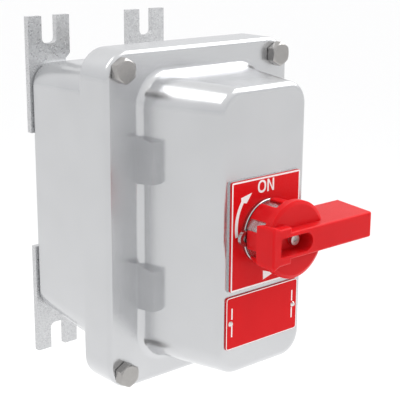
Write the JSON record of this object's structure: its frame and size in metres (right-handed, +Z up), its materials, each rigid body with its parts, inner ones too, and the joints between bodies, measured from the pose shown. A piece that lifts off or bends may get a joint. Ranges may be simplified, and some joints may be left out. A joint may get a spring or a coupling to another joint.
{
  "type": "rotary isolator switch",
  "caption": "Wall-mounted cast metal enclosed rotary isolator switch with a bolted cover, slotted feet and a red lockable turning handle.",
  "frame": {"origin": "centre of the wall plane that the four feet bear on, midway between the feet and on the handle's axis", "axes": "+Z up, the front with the handle faces -Y, +X to the right seen from the front, +Y into the wall"},
  "size_m": [0.198, 0.2717, 0.313],
  "materials": {
    "cast_aluminium": "bright painted or bare aluminium casting, fine cast grain, satin gloss",
    "foot_metal": "flat plate with a coarse glittering cast grain",
    "bolt_steel": "stainless hexagon heads, fine turned grain",
    "zinc_steel": "bright zinc-plated steel",
    "sleeve_steel": "satin nickel-plated steel",
    "nickel_brass": "nickel-plated brass",
    "bearing_brass": "machined brass",
    "contact_copper": "plain copper strip",
    "red_plastic": "smooth moulded red plastic",
    "red_laminate": "smooth red laminate, white printing",
    "black_plastic": "moulded black plastic",
    "grey_plastic": "moulded grey plastic",
    "black_rubber": "black rubber"
  },
  "bodies": {
    "enclosure": {"rear_housing": "cast_aluminium", "front_cover": "cast_aluminium", "cover_bolts": "bolt_steel", "cover_seal": "black_rubber", "mounting_foot_upper_right": "foot_metal", "mounting_foot_upper_left": "foot_metal", "mounting_foot_lower_right": "foot_metal", "mounting_foot_lower_left": "foot_metal", "foot_screws": "zinc_steel", "blanking_plug": "nickel_brass", "legend_plate": "red_laminate", "warning_plate": "red_laminate", "plate_rivets": "zinc_steel", "base_ring": "sleeve_steel", "ring_screws": "zinc_steel", "shaft_bush": "bearing_brass", "shaft_seal": "black_rubber", "mounting_plate": "zinc_steel", "plate_screws": "zinc_steel", "earth_washer": "bearing_brass", "earth_screw": "bearing_brass", "switch_base": "black_plastic", "contact_deck_1": "grey_plastic", "contact_deck_2": "grey_plastic", "contact_deck_3": "grey_plastic", "fixed_contacts": "contact_copper", "terminal_clamps": "zinc_steel", "terminal_screws": "zinc_steel", "switch_lid": "black_plastic", "tie_screws": "zinc_steel"},
    "handle_assembly": {"handle": "red_plastic", "handle_sleeve": "sleeve_steel", "handle_screw": "zinc_steel", "shaft": "zinc_steel", "retaining_ring": "zinc_steel"},
    "padlock_slide": {"padlock_slide": "sleeve_steel"},
    "rotor": {"rotor": "black_plastic", "moving_contacts": "contact_copper", "drive_coupler": "grey_plastic", "coupler_screw": "zinc_steel"}
  },
  "joints": [
    {"name": "handle_turn", "type": "hinge", "parent": "enclosure", "child": "handle_assembly", "pos_m": [0, -0.24, 0], "axis": [0, 1, 0], "range_deg": [0, 90]},
    {"name": "padlock_pull", "type": "slide", "parent": "handle_assembly", "child": "padlock_slide", "axis": [-1, 0, 0], "range_m": [0, 0.009]},
    {"name": "rotor_turn", "type": "hinge", "parent": "enclosure", "child": "rotor", "pos_m": [0, -0.06, 0], "axis": [0, 1, 0], "range_deg": [0, 90]}
  ],
  "couplings": [
    {"joint": "rotor_turn", "follows": "handle_turn", "ratio": 1}
  ]
}
